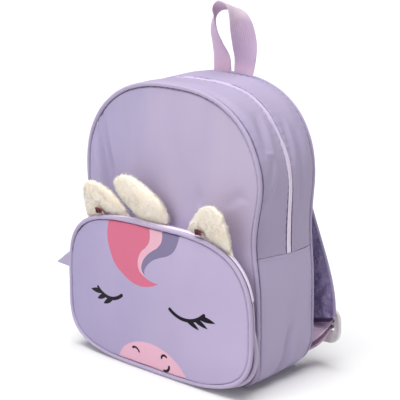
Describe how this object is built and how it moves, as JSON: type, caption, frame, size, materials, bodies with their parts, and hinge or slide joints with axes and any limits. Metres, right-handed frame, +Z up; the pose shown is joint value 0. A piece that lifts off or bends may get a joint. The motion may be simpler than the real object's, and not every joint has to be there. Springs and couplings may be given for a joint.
{
  "type": "kids backpack",
  "caption": "Small arched children's backpack with a zipped top, a proud front pocket printed with a sleeping animal face, plush horn and ears, grab loop and padded shoulder straps.",
  "frame": {"origin": "middle of the flat base that the bag stands on", "axes": "+Z up, -Y out of the front pocket, +X to the viewer's right when facing the front"},
  "size_m": [0.3044, 0.1649, 0.3809],
  "materials": {
    "body_cloth": "lavender polyester weave with a slight sheen",
    "printed_cloth": "lavender polyester with a printed sleeping face",
    "piping": "lavender cloth over a cord",
    "zip": "pale pink-lilac zip tape with a covered coil",
    "plush": "short cream plush",
    "ear_lining": "dark red-brown felt",
    "webbing": "pink-lilac ribbed webbing",
    "strap_pad": "purple padded mesh with a brushed face",
    "back_pad": "lavender padded cloth",
    "strap_plastic": "milky white moulded plastic"
  },
  "bodies": {
    "root": {"front_panel": "body_cloth", "back_panel": "back_pad", "zip_gusset_front": "body_cloth", "zip_gusset_back": "body_cloth", "main_zip": "zip", "bottom_gusset": "body_cloth", "main_zip_slider": "zip", "front_piping": "piping", "back_piping": "piping", "pocket_panel": "printed_cloth", "pocket_zip": "zip", "pocket_gusset_top": "body_cloth", "pocket_gusset_bottom": "body_cloth", "pocket_piping": "piping", "pocket_zip_tab": "webbing", "pocket_zip_slider": "zip", "horn": "plush", "ear_left": "plush", "ear_lining_left": "ear_lining", "ear_right": "plush", "ear_lining_right": "ear_lining", "grab_loop": "webbing", "shoulder_strap_right": "strap_pad", "shoulder_strap_left": "strap_pad", "strap_lock_right": "strap_plastic", "strap_lock_left": "strap_plastic", "strap_tie_right": "webbing", "strap_tie_left": "webbing", "strap_webbing_right": "webbing", "strap_webbing_left": "webbing"}
  },
  "joints": []
}
